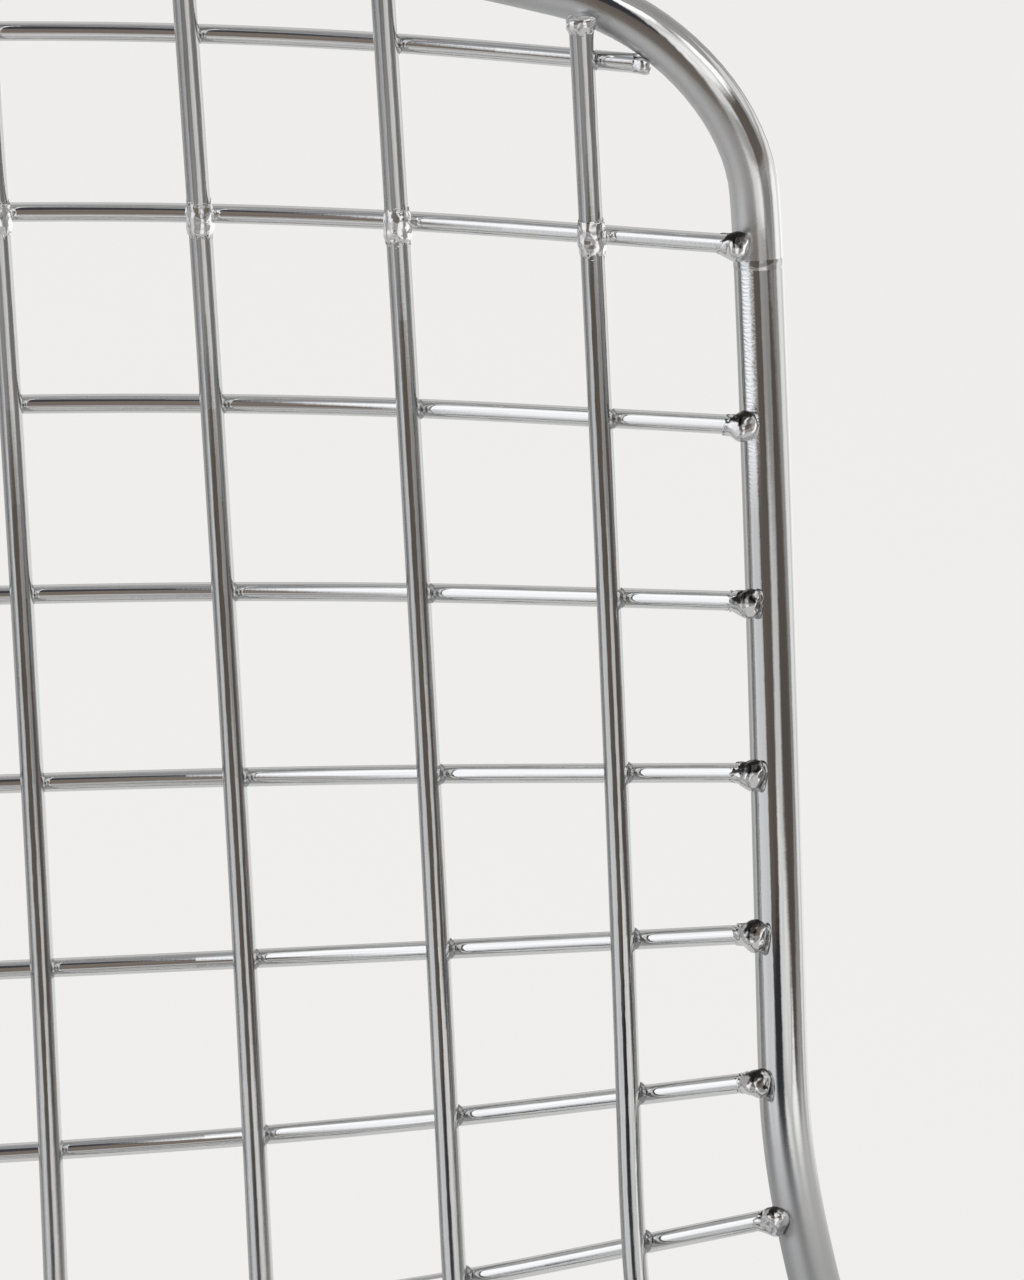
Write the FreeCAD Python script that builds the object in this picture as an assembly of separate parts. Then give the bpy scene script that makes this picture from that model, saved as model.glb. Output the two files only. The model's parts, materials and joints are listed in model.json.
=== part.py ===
import FreeCAD, Part
import math
import os
from FreeCAD import Vector

# A bar stool of chromed steel rod. A wire-mesh shell, seat and back in one sweep, is edged by a thicker
# rim rod and stands on a base of bent rod with a foot ring.
# Millimetres. X is across the stool, the sitter faces -Y, Z is up. The origin is on the floor, under the
# middle.
# Left and right are as seen from the front, so right is +X.
# A place on the shell is (x, s): x across, and s down the middle line from the second cross wire, where each
# long wire is jointed. The cross wires lie in the shell, and heights above it, n, are towards the sitter.

# Rods and wires
RIM_D = 10.0
LONG_D = 5.0
CROSS_D = 4.0
LEG_D = 13.0
RING_D = 12.0
TOUCH = 0.02                    # daylight between rods that are welded together

# Middle line of the shell, from the second cross wire down
JOINT_HEIGHT = 1030.0           # height of the second cross wire
JOINT_Y = 240.0
JOINT_LEAN = 11.1               # degrees from upright there
BACK_RADIUS = 466.0
BACK_LENGTH = 144.0
LOWER_BACK_RADIUS = 336.0
LOWER_BACK_LENGTH = 111.0
HOLLOW_RADIUS = 210.0           # the bend from the back into the seat
SEAT_ANGLE = 95.0               # the seat rises 5 degrees to the front
SEAT_LENGTH = 152.0
FRONT_RADIUS = 85.0             # the fall of the front edge
FRONT_ANGLE = 45.0

# Bowl of the shell across the stool, as radii of the cross wires
BOWL_HALF = 146.5               # a cross wire is bent this far to each side and runs straight on to the rim
BOWL_RADIUS_JOINT = 351.5
BOWL_RADIUS_WAIST = 235.0
BOWL_RADIUS_SEAT = 600.0
BOWL_RADIUS_FRONT = 1200.0
BOWL_WAIST_FROM = 215.0         # the bowl deepens evenly down to here
BOWL_WAIST_TO = 265.0           # and is deepest here
BOWL_SEAT_FROM = 560.0          # the seat's own bowl is reached here
BOWL_FRONT_FROM = 500.0         # and flattens from here to the front edge
BOWL_TURN_RADIUS = 350.0        # the way that the sides rise turns upright at this rate, below the back

# Mesh
LONG_PITCH = 43.0               # along the second cross wire
SEAT_EDGE_ROOM = 36.0           # from the outermost long wires to the rim's centre line, on the seat
LONG_SPREAD = 0.00026           # share by which the pitch widens for each millimetre down the back
BACK_SIDE_WIRES = 4             # long wires on each side of the middle one that reach the top
EDGE_WIRE_START = 356.0         # the outermost long wires start on the rim here
TOP_GAP = 38.9                  # from the first cross wire to the second
CROSS_PITCH = 40.96             # below the second
CROSS_PITCH_STEP = -0.615       # change from one gap to the next, down the back
BACK_CROSS_WIRES = 8
SEAT_CROSS_PITCH = 39.9
SEAT_CROSS_WIRES = 9

# Rim, at its centre line
RIM_HALF_BACK = 193.9
RIM_HALF_WAIST = 186.2
RIM_HALF_SEAT = 258.0
RIM_WAIST_FROM = 418.0
RIM_FLARE_FROM = 192.0
RIM_FLARE_TO = 565.0
RIM_TOP_RISE = 64.9             # top of the rim above the second cross wire, at the middle
RIM_TOP_CROWN = 1000.0          # radius of the top edge
RIM_TOP_CORNER = 42.3
RIM_FRONT = 642.0
RIM_FRONT_CROWN = 1400.0        # radius of the front edge
RIM_FRONT_CORNER = 58.0
RIM_SET_FROM = 0.4              # the rim sinks behind the cross wires from this share of the top corners
RIM_SET_TO = 10.0               # to this far past them
CROSS_END = 0.35                # the cross wires end this far before its centre line, in radii
CROSS_GAP = 0.4                 # where the rim isn't behind them they stop this far short of it
RIM_JOINT = 5.0                 # the top bow and the seat rim are butt-welded here
STUB_END = 0.35                 # the long wires end this far below the top rim's centre line
FRONT_END = 0.2                 # and this far over the front rim's, as shares of the rim's radius
TOP_STEP = 52.0                 # longest runs that the rim is bent from, at the top
CORNER_STEP = 18.0
SIDE_STEP = 26.0
FRONT_CORNER_STEP = 23.0
FRONT_STEP = 70.0

# Welds
SPOT_WELD_R = 2.6
COLLAR_FLAT = 0.35              # share of a collar's length that is at its full swell
STUB_COLLAR_LENGTH = 9.0
STUB_COLLAR_SWELL = 0.45
RIM_COLLAR_LENGTH = 3.0
RIM_COLLAR_SWELL = 0.2
FLARE_LENGTH = 4.0              # of a cross wire that its end weld covers
FLARE_R = 3.3
FLARE_REACH = 0.5               # how far the weld runs over the rim, as a share of the rim's radius
FLARE_RISE = -0.3               # how far its nose leans to the sitter's side
FLARE_SAG = 0.7                 # and down along the rim
FLARE_PROFILE = ((0.0, 0.08), (0.28, 0.28), (0.5, 0.72), (0.68, 1.0), (0.85, 0.7), (1.0, -0.4))
LAP_WELD_LENGTH = 3.0           # of a long wire that the weld over its end covers
LAP_WELD_SWELL = 0.6
LAP_WELD_PROFILE = ((-1.0, 0.12), (-0.45, 1.0), (0.12, 0.9), (0.3, -1.2))
RING_WELD_R = 5.4

# Base
FLOOR_HALF_DEPTH = 262.0        # furthest reach of the runners' centre line
FLOOR_HALF_WIDTH = 215.0
TOP_RUN_X = 150.0
TOP_RUN_ROOM = 2.2              # between the top runs and the cross wires
FRONT_LEG_LEAN = 6.5
REAR_LEG_LEAN = 16.0
FLOOR_BEND = 60.0
TOP_BEND = 32.0
BEARER_AFTER = (11, 14)         # each bearer lies after this cross wire, counted from 0
BEARER_WIDTH = 28.0
BEARER_THICK = 5.0
PAD_THICK = 4.0
PAD_ROOM = 0.6                  # under the cross wires
RING_HEIGHT = 300.0
RING_REACH = 26.0               # how far the ring stands out before the front legs and behind the rear ones
RING_BEND = 24.5

# Clamps that hold the shell to the bearers
SCREW_D = 6.0
SCREW_HOLE_D = 6.6
SCREW_HEAD_D = 11.0
SCREW_HEAD_H = 3.3
SCREW_HEAD_ROUND = 2.0
SOCKET_ACROSS = 4.0
SOCKET_DEPTH = 2.0
CLAMP_LENGTH = 58.0
CLAMP_WIDTH = 26.0
CLAMP_THICK = 3.0
PAD_SIZE = 26.0
WASHER_D = 13.0
WASHER_THICK = 1.4
NUT_ACROSS = 10.0
NUT_THICK = 6.0
CLAMP_BETWEEN = (2, 3)          # each clamp bridges these two long wires
PLATE_CORNER = 5.2
SCREW_PAST_NUT = 2.0

# Glides
GLIDE_FOOT = 4.0                # plastic under the runner
GLIDE_WALL = 3.5
GLIDE_LENGTH = 34.0
GLIDE_SOLE = 16.0
GLIDE_MOUTH = 3.5               # the clip closes this far above the runner's middle
GLIDE_Y = 150.0

EDGE_WIRE = BACK_SIDE_WIRES + 1
LONG_PITCH_SEAT = (RIM_HALF_SEAT - SEAT_EDGE_ROOM) / EDGE_WIRE
LONG_N = (LONG_D + CROSS_D) / 2 + TOUCH
RIM_N = LONG_N - (LONG_D + RIM_D) / 2 - TOUCH         # behind the long wires
RIM_SIDE_N = -(CROSS_D + RIM_D) / 2 - TOUCH           # behind the cross wires
TOP_RUN_N = -CROSS_D / 2 - LEG_D / 2 - TOP_RUN_ROOM
FLOOR_ROD_Z = GLIDE_FOOT + LEG_D / 2
UP = Vector(0, 0, 1)
NEARLY_STRAIGHT = 0.0002        # a bend flatter than this, as height over chord, is swept straight
STEP = 0.05                     # for finding a direction from two places


def smooth(value, start, end):
    """0 before start, 1 after end, with an even ease between."""
    t = min(max((value - start) / (end - start), 0.0), 1.0)
    return t * t * (3 - 2 * t)


# Middle line: arcs and one straight run, each starting where the last one ends

def middle_line():
    turns = [(BACK_LENGTH, 1 / BACK_RADIUS), (LOWER_BACK_LENGTH, 1 / LOWER_BACK_RADIUS)]
    lean = math.radians(JOINT_LEAN) + sum(length * bend for length, bend in turns)
    seat = math.radians(SEAT_ANGLE)
    front = math.radians(FRONT_ANGLE)
    turns.append(((seat - lean) * HOLLOW_RADIUS, 1 / HOLLOW_RADIUS))
    turns.append((SEAT_LENGTH, 0.0))
    turns.append(((seat - front) * FRONT_RADIUS, -1 / FRONT_RADIUS))
    runs = []
    s, y, z, lean = 0.0, JOINT_Y, JOINT_HEIGHT, math.radians(JOINT_LEAN)
    for length, bend in turns:
        runs.append((s, bend, y, z, lean))
        y, z, lean = follow(runs[-1], s + length)
        s += length
    return runs


def follow(run, s):
    """Place and lean on one arc or straight run of the middle line."""
    start, bend, y, z, lean = run
    if bend == 0.0:
        return y - math.sin(lean) * (s - start), z - math.cos(lean) * (s - start), lean
    end = lean + bend * (s - start)
    return y + (math.cos(end) - math.cos(lean)) / bend, z - (math.sin(end) - math.sin(lean)) / bend, end


MIDDLE = middle_line()


def middle(s):
    run = MIDDLE[0]
    for other in MIDDLE:
        if s >= other[0]:
            run = other
    return follow(run, s)


def bowl(s):
    """Curvature of the shell across the stool."""
    top = 1 / BOWL_RADIUS_JOINT
    deepest = 1 / BOWL_RADIUS_WAIST
    ease = BOWL_WAIST_TO - BOWL_WAIST_FROM
    gain = (deepest - top) / (BOWL_WAIST_FROM + ease / 2)
    into = min(max(s - BOWL_WAIST_FROM, 0.0), ease)
    rise = min(s, BOWL_WAIST_FROM) + into - into * into / (2 * ease)
    seat = 1 / BOWL_RADIUS_SEAT
    fall = (deepest - seat) * smooth(s, BOWL_WAIST_TO, BOWL_SEAT_FROM)
    fall += (seat - 1 / BOWL_RADIUS_FRONT) * smooth(s, BOWL_FRONT_FROM, RIM_FRONT)
    return top + gain * rise - fall


def square(s):
    """Direction towards the sitter, square to the middle line."""
    lean = middle(s)[2]
    return Vector(0, -math.cos(lean), math.sin(lean))


def inward(s):
    """Direction in which the sides of the shell rise: square to the back, then turning upright."""
    back = BACK_LENGTH + LOWER_BACK_LENGTH
    lean = middle(min(s, back))[2] + max(s - back, 0.0) / BOWL_TURN_RADIUS
    lean = min(lean, math.radians(SEAT_ANGLE))
    return Vector(0, -math.cos(lean), math.sin(lean))


def swing(x, s):
    """Angle through which the cross wire at s has turned at x."""
    return math.asin(bowl(s) * max(-BOWL_HALF, min(x, BOWL_HALF)))


def on_shell(x, s):
    y, z, _ = middle(s)
    turned_by = swing(abs(x), s)
    rise = (1 - math.cos(turned_by)) / bowl(s) + max(abs(x) - BOWL_HALF, 0.0) * math.tan(turned_by)
    return Vector(x, y, z) + inward(s) * rise


def across(x, s):
    """Direction of a cross wire at a place on the shell."""
    return Vector(math.cos(swing(x, s)), 0, 0) + inward(s) * math.sin(swing(x, s))


def shell_normal(x, s):
    down = on_shell(x, s + STEP) - on_shell(x, s - STEP)
    return down.cross(across(x, s)).normalize()


def shell(x, s, n=0.0):
    """A place n above the shell."""
    return on_shell(x, s) + shell_normal(x, s) * n


# Rods: chains of straight runs and arcs, swept as true cylinders and rings

def arc_to(p, t, q):
    """The arc that leaves p along t and ends at q, as centre, axis and degrees, or None if it is straight."""
    chord = q - p
    side = chord - t * chord.dot(t)
    height = side.Length
    if height < NEARLY_STRAIGHT * chord.Length:
        return None
    side.normalize()
    radius = chord.dot(chord) / (2 * height)
    angle = 2 * math.atan2(height, chord.dot(t))
    return p + side * radius, t.cross(side), math.degrees(angle)


def biarc(p, t, q, u):
    """The middle point of the two arcs that join p, along t, to q, along u."""
    v = q - p
    w = t + u
    a = 2 * (1 - t.dot(u))
    b = v.dot(w)
    c = v.dot(v)
    reach = c / (2 * b) if a < 1e-9 else (math.sqrt(b * b + a * c) - b) / a
    return (p + t * reach + q - u * reach) * 0.5


def sweep(edge, p, t, q):
    """Sweep a round edge from p, leaving along t, to q. Gives the wall, the far edge and its direction."""
    bend = arc_to(p, t, q)
    far = edge.copy()
    if bend is None:
        far.translate(q - p)
        return edge.extrude(q - p).Faces[0], far, t
    centre, axis, angle = bend
    far.rotate(centre, axis, angle)
    turn = FreeCAD.Rotation(axis, angle)
    return edge.revolve(centre, axis, angle).Faces[0], far, turn.multVec(t)


def tube_walls(points, tangents, diameter):
    """Walls of a round rod on arcs through the points, with its first and last edge."""
    edge = Part.makeCircle(diameter / 2, points[0], tangents[0])
    first = edge
    walls = []
    for p, t, q, u in zip(points, tangents, points[1:], tangents[1:]):
        mid = biarc(p, t, q, u)
        wall, edge, heading = sweep(edge, p, t, mid)
        walls.append(wall)
        wall, edge, heading = sweep(edge, mid, heading, q)
        walls.append(wall)
    return walls, first, edge


def close_solid(faces):
    joined = Part.makeCompound(faces)
    joined.sewShape()
    solid = Part.makeSolid(joined.Shells[0])
    if solid.Volume < 0:
        solid.reverse()
    return solid


def rod(points, tangents, diameter):
    walls, first, last = tube_walls(points, tangents, diameter)
    ends = [Part.Face(Part.Wire([edge])) for edge in (first, last)]
    return close_solid(walls + ends)


def loop(corners, radii, diameter):
    """A closed flat loop of rod with rounded corners."""
    count = len(corners)
    stops = []
    for i, corner in enumerate(corners):
        back = (corners[i - 1] - corner).normalize()
        on = (corners[(i + 1) % count] - corner).normalize()
        half = math.acos(max(-1.0, min(1.0, back.dot(on)))) / 2
        reach = radii[i] / math.tan(half)
        stops.append((corner + back * reach, corner + on * reach))
    start = (stops[-1][1] + stops[0][0]) * 0.5
    edge = Part.makeCircle(diameter / 2, start, stops[0][0] - start)
    walls = []
    at = start
    for into, out in stops:
        heading = (into - at).normalize()
        wall, edge, heading = sweep(edge, at, heading, into)
        walls.append(wall)
        wall, edge, heading = sweep(edge, into, heading, out)
        walls.append(wall)
        at = out
    wall, edge, heading = sweep(edge, at, heading, start)
    walls.append(wall)
    return close_solid(walls)


def headings(place, stations):
    """Directions of a curve, given as a function of one value, at its stations."""
    return [(place(v + STEP) - place(v - STEP)).normalize() for v in stations]


def mirrored(shape):
    return shape.mirror(Vector(0, 0, 0), Vector(1, 0, 0))


# Rim line, on the shell: half of it, from the middle of the top edge round to the middle of the front

def rim_side(s):
    """Half width of the rim at its sides."""
    waist = smooth(s, 0.0, RIM_WAIST_FROM)
    flare = smooth(s, RIM_FLARE_FROM, RIM_FLARE_TO)
    return RIM_HALF_BACK + (RIM_HALF_WAIST - RIM_HALF_BACK) * waist + (RIM_HALF_SEAT - RIM_HALF_WAIST) * flare


def corner(half, crown, radius):
    """Centre of a corner that runs into a crowned edge: x, distance from the edge's middle, and swing."""
    x = half - radius
    swing = math.asin(x / (crown - radius))
    return x, crown - (crown - radius) * math.cos(swing), swing


CORNER_X, CORNER_DROP, CROWN_SWING = corner(RIM_HALF_BACK, RIM_TOP_CROWN, RIM_TOP_CORNER)
CORNER_S = -RIM_TOP_RISE + CORNER_DROP
FRONT_X, FRONT_DROP, FRONT_SWING = corner(RIM_HALF_SEAT, RIM_FRONT_CROWN, RIM_FRONT_CORNER)
FRONT_CORNER_S = RIM_FRONT - FRONT_DROP
RIM_RUNS = (
    RIM_TOP_CROWN * CROWN_SWING,
    RIM_TOP_CORNER * (math.pi / 2 - CROWN_SWING),
    FRONT_CORNER_S - CORNER_S,
    RIM_FRONT_CORNER * (math.pi / 2 - FRONT_SWING),
    RIM_FRONT_CROWN * FRONT_SWING,
)


def rim_at(v):
    """(x, s) of the rim line, v along it from the middle of the top edge."""
    top, top_corner, side, front_corner, front = RIM_RUNS
    if v < top:
        swing = v / RIM_TOP_CROWN
        return RIM_TOP_CROWN * math.sin(swing), -RIM_TOP_RISE + RIM_TOP_CROWN * (1 - math.cos(swing))
    v -= top
    if v < top_corner:
        swing = CROWN_SWING + v / RIM_TOP_CORNER
        return CORNER_X + RIM_TOP_CORNER * math.sin(swing), CORNER_S - RIM_TOP_CORNER * math.cos(swing)
    v -= top_corner
    if v < side:
        return rim_side(CORNER_S + v), CORNER_S + v
    v -= side
    if v < front_corner:
        swing = v / RIM_FRONT_CORNER
        return (FRONT_X + RIM_FRONT_CORNER * math.cos(swing),
                FRONT_CORNER_S + RIM_FRONT_CORNER * math.sin(swing))
    swing = (front - (v - front_corner)) / RIM_FRONT_CROWN
    return RIM_FRONT_CROWN * math.sin(swing), RIM_FRONT - RIM_FRONT_CROWN * (1 - math.cos(swing))


def rim_stations(start, end, step):
    count = max(1, round((end - start) / step))
    return [start + (end - start) * i / count for i in range(count + 1)]


RIM_STARTS = [sum(RIM_RUNS[:i]) for i in range(len(RIM_RUNS) + 1)]
RIM_JOINT_V = RIM_STARTS[2] + RIM_JOINT - CORNER_S


def rim_n(v):
    """Height of the rim. It lies behind the cross wires beside the back, elsewhere behind the long wires."""
    back = smooth(v, RIM_STARTS[1] + RIM_SET_FROM * RIM_RUNS[1], RIM_STARTS[2] + RIM_SET_TO)
    back -= smooth(rim_at(v)[1], CROSS_S[BACK_CROSS_WIRES - 1], EDGE_WIRE_START)
    return RIM_N + (RIM_SIDE_N - RIM_N) * back


def rim_place(v):
    return shell(*rim_at(v), rim_n(v))


def rim_half(stretches):
    """Walls of the right half of a rim rod along stretches of the rim line, given as (start, end, step)."""
    values = []
    for start, end, step in stretches:
        values += rim_stations(start, end, step)[1 if values else 0:]
    return tube_walls([rim_place(v) for v in values], headings(rim_place, values), RIM_D)


def rim_v(s):
    """Place along the rim line of the rim's side, or of a corner, at s."""
    low, high = RIM_STARTS[1], RIM_STARTS[4]
    for _ in range(50):
        mid = (low + high) / 2
        if rim_at(mid)[1] < s:
            low = mid
        else:
            high = mid
    return low


# Wires of the mesh

def cross_stations():
    stations = [-TOP_GAP, 0.0]
    gap = CROSS_PITCH
    while len(stations) < BACK_CROSS_WIRES:
        stations.append(stations[-1] + gap)
        gap += CROSS_PITCH_STEP
    for _ in range(SEAT_CROSS_WIRES):
        stations.append(stations[-1] + SEAT_CROSS_PITCH)
    return stations


CROSS_S = cross_stations()


def long_x(u, s):
    """Distance from the middle of long wire u at s."""
    bend = bowl(s)
    reach = LONG_PITCH * (1 + LONG_SPREAD * s) * abs(u)
    arc = min(reach, swing(BOWL_HALF, s) / bend)
    on_back = math.sin(arc * bend) / bend + (reach - arc) * math.cos(arc * bend)
    on_seat = LONG_PITCH_SEAT * abs(u)
    x = on_back + (on_seat - on_back) * smooth(s, CROSS_S[BACK_CROSS_WIRES - 1], BOWL_SEAT_FROM)
    return math.copysign(x, u)


def long_place(u):
    return lambda s: shell(long_x(u, s), s, LONG_N)


def long_wire(u, start, end):
    """A long wire from start to end, through every cross wire between them."""
    margin = 2 * LONG_D
    stations = [start] + [s for s in CROSS_S if start + margin < s < end - margin] + [end]
    place = long_place(u)
    return rod([place(s) for s in stations], headings(place, stations), LONG_D)


def rim_gap(s):
    """Where the cross wire at s ends on the rim or before it, as x, and the sine of their angle."""
    v = rim_v(s)
    x = rim_at(v)[0]
    along = headings(rim_place, [v])[0]
    slant = along.cross(across(x, s)).Length
    under = -rim_n(v) - CROSS_D / 2
    clear = 0.0
    if under < RIM_D / 2:
        clear = math.sqrt((RIM_D / 2) ** 2 - under ** 2) + CROSS_D / 2 * math.sqrt(1 - slant ** 2) + CROSS_GAP
    return x - max(clear, CROSS_END * RIM_D / 2) / slant * across(x, s).x, slant


def cross_wire(s):
    """An arc in the middle and a straight run to the rim on each side."""
    end = rim_gap(s)[0]
    half = [x for x in (BOWL_HALF, end) if x <= end]
    stations = [-x for x in reversed(half)] + [0.0] + half
    return rod([shell(x, s) for x in stations], [across(x, s) for x in stations], CROSS_D)


def top_end(u):
    """Where the stub of long wire u ends, on the inner edge of the top rim."""
    x = abs(long_x(u, -TOP_GAP))
    low, high = 0.0, RIM_STARTS[2]
    for _ in range(50):
        mid = (low + high) / 2
        if rim_at(mid)[0] < x:
            low = mid
        else:
            high = mid
    return rim_at(low)[1] + STUB_END * RIM_D / 2, low


def front_end(u):
    """Where long wire u ends, lying on the front rim, and that place along the rim line."""
    low, high = RIM_STARTS[3], RIM_STARTS[5]
    for _ in range(50):
        mid = (low + high) / 2
        x, s = rim_at(mid)
        if x > abs(long_x(u, s)):
            low = mid
        else:
            high = mid
    return rim_at(low)[1] + FRONT_END * RIM_D / 2, low


# Welds. Each is a small body round the place where two rods meet, cut to both of them

def stub_rod(place, heading, diameter, length):
    """A short straight piece of rod, for cutting a weld to shape."""
    return Part.makeCylinder(diameter / 2, length, place - heading * (length / 2), heading)


def spot_bead():
    """The bead between a long wire, along Y, and the cross wire under it, along X."""
    long_rod = stub_rod(UP * ((LONG_D + TOUCH) / 2), Vector(0, 1, 0), LONG_D, 6 * SPOT_WELD_R)
    cross_rod = stub_rod(UP * (-(CROSS_D + TOUCH) / 2), Vector(1, 0, 0), CROSS_D, 6 * SPOT_WELD_R)
    return Part.makeSphere(SPOT_WELD_R).cut([long_rod, cross_rod])


def on_wire(shape, x, s, n):
    """Move a piece made round the Z axis to a place n above the shell, with its X along the cross wires."""
    normal = shell_normal(x, s)
    out = across(x, s)
    placed = shape.copy()
    turn = FreeCAD.Rotation(out, normal.cross(out), normal, "ZXY")
    placed.Placement = FreeCAD.Placement(shell(x, s, n), turn)
    return placed


def turned(profile, place, axis):
    """A body turned from a profile of straight lines in XZ, then moved so that Z is along the axis."""
    body = Part.Face(Part.makePolygon(profile + profile[:1])).revolve(Vector(0, 0, 0), UP, 360)
    body.Placement = FreeCAD.Placement(place, FreeCAD.Rotation(UP, axis))
    return body


def flare_weld(s, side):
    """The weld at one end of a cross wire: a flare on the wire that ends in a bead on the rim."""
    end_x, slant = rim_gap(s)
    v = rim_v(s)
    heading = across(end_x, s)
    along_rim = headings(rim_place, [v])[0]
    end = shell(end_x, s)
    start = end - heading * FLARE_LENGTH
    axis = heading * (FLARE_LENGTH + FLARE_REACH * RIM_D / 2 / slant) + along_rim * FLARE_SAG
    axis += shell_normal(end_x, s) * FLARE_RISE
    spread = (FLARE_R - CROSS_D / 2) * slant * slant
    profile = [Vector(CROSS_D / 2 + share * spread, 0, along * axis.Length) for along, share in FLARE_PROFILE]
    flare = turned([Vector(0, 0, 0)] + profile + [Vector(0, 0, axis.Length)], start, axis)
    wire = stub_rod(start, heading, CROSS_D, 2 * FLARE_LENGTH)
    rim = stub_rod(rim_place(v), along_rim, RIM_D, 8 * FLARE_R)
    weld = flare.cut([wire, rim])
    weld = max(weld.Solids, key=lambda solid: solid.Volume)
    return weld if side > 0 else mirrored(weld)


def lap_weld(u, s, v, way):
    """The cap over the end of a long wire that lies on the rim.

    way is 1 where the wire ends and -1 where it starts.
    """
    place = long_place(abs(u))
    outward = headings(place, [s])[0] * way
    profile = [Vector(LONG_D / 2 + share * LAP_WELD_SWELL, 0, along * LAP_WELD_LENGTH)
               for along, share in LAP_WELD_PROFILE]
    ends = [Vector(0, 0, profile[0].z), Vector(0, 0, profile[-1].z)]
    cap = turned(ends[:1] + profile + ends[1:], place(s), outward)
    wire = Part.makeCylinder(LONG_D / 2, 2 * LAP_WELD_LENGTH, place(s), outward * -1)
    rim = stub_rod(rim_place(v), headings(rim_place, [v])[0], RIM_D, 8 * LAP_WELD_LENGTH)
    weld = max(cap.cut([wire, rim]).Solids, key=lambda solid: solid.Volume)
    return weld if u >= 0 else mirrored(weld)


def collar(place, heading, diameter, length, swell):
    """A low swelling round a butt joint in a rod."""
    r = diameter / 2
    half = length / 2
    flat = COLLAR_FLAT * half
    profile = [Vector(r, 0, -half), Vector(r + swell, 0, -flat), Vector(r + swell, 0, flat),
               Vector(r, 0, half)]
    return turned(profile, place, heading)


def stub_weld(u):
    x = long_x(u, 0.0)
    heading = headings(long_place(u), [0.0])[0]
    cross_rod = stub_rod(shell(x, 0.0), across(x, 0.0), CROSS_D, 4 * LONG_D)
    bead = collar(shell(x, 0.0, LONG_N), heading, LONG_D, STUB_COLLAR_LENGTH, STUB_COLLAR_SWELL)
    return bead.cut(cross_rod)


# Base

BEARER_S = tuple((CROSS_S[i] + CROSS_S[i + 1]) / 2 for i in BEARER_AFTER)
SPLAY = math.atan2(FLOOR_HALF_WIDTH - TOP_RUN_X, shell(TOP_RUN_X, BEARER_S[0], TOP_RUN_N).z - FLOOR_ROD_Z)


def side_plane(y, rise):
    """A place in the tilted plane of a side frame, rise up it from the floor rod."""
    return Vector(FLOOR_HALF_WIDTH - rise * math.sin(SPLAY), y, FLOOR_ROD_Z + rise * math.cos(SPLAY))


def floor_corner(lean):
    """How far the sharp corner of leg and runner stands outside the reach of the bend."""
    return FLOOR_HALF_DEPTH + FLOOR_BEND * (math.tan(math.radians(90 + lean) / 2) - 1)


def frame_corners():
    """Front floor, front top, rear top and rear floor corners of a side frame, before bending."""
    rear, front = [shell(TOP_RUN_X, s, TOP_RUN_N) for s in BEARER_S]
    rises = [(p.z - FLOOR_ROD_Z) / math.cos(SPLAY) for p in (rear, front)]
    slope = (rises[1] - rises[0]) / (front.y - rear.y)
    corners = []
    for lean, sign in ((FRONT_LEG_LEAN, -1), (REAR_LEG_LEAN, 1)):
        foot = sign * floor_corner(lean)
        run = -sign * math.tan(math.radians(lean))
        rise = (rises[0] + slope * (foot - rear.y)) / (1 - slope * run)
        corners.append((foot, foot + run * rise, rise))
    (front_foot, front_top, front_rise), (rear_foot, rear_top, rear_rise) = corners
    return [side_plane(front_foot, 0.0), side_plane(front_top, front_rise),
            side_plane(rear_top, rear_rise), side_plane(rear_foot, 0.0)]


FRAME = frame_corners()


def leg_at(low, high, z):
    return low + (high - low) * ((z - low.z) / (high.z - low.z))


def side_frame():
    return loop(FRAME, [FLOOR_BEND, TOP_BEND, TOP_BEND, FLOOR_BEND], LEG_D)


def ring_box():
    front = leg_at(FRAME[0], FRAME[1], RING_HEIGHT)
    rear = leg_at(FRAME[3], FRAME[2], RING_HEIGHT)
    half = front.x + ((LEG_D + RING_D) / 2 + TOUCH) / math.cos(SPLAY)
    return half, front.y - RING_REACH, rear.y + RING_REACH


def foot_ring():
    half, front, rear = ring_box()
    corners = [Vector(half, front, RING_HEIGHT), Vector(half, rear, RING_HEIGHT),
               Vector(-half, rear, RING_HEIGHT), Vector(-half, front, RING_HEIGHT)]
    return loop(corners, [RING_BEND] * 4, RING_D)


def ring_weld(low, high, side):
    leg = leg_at(low, high, RING_HEIGHT)
    half = ring_box()[0]
    touch = Vector((leg.x + half + (LEG_D - RING_D) / 2) / 2, leg.y, RING_HEIGHT)
    heading = (high - low).normalize()
    bead = Part.makeSphere(RING_WELD_R, touch)
    weld = bead.cut([stub_rod(leg, heading, LEG_D, 3 * RING_D),
                     stub_rod(Vector(half, leg.y, RING_HEIGHT), Vector(0, 1, 0), RING_D, 3 * RING_D)])
    return weld if side > 0 else mirrored(weld)


PAD_TOP_N = -CROSS_D / 2 - PAD_ROOM
BEARER_N = PAD_TOP_N - PAD_THICK            # upper face of a bearer
CLAMP_N = LONG_N + LONG_D / 2


def clamp_x(s):
    return sum(long_x(u, s) for u in CLAMP_BETWEEN) / 2


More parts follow.
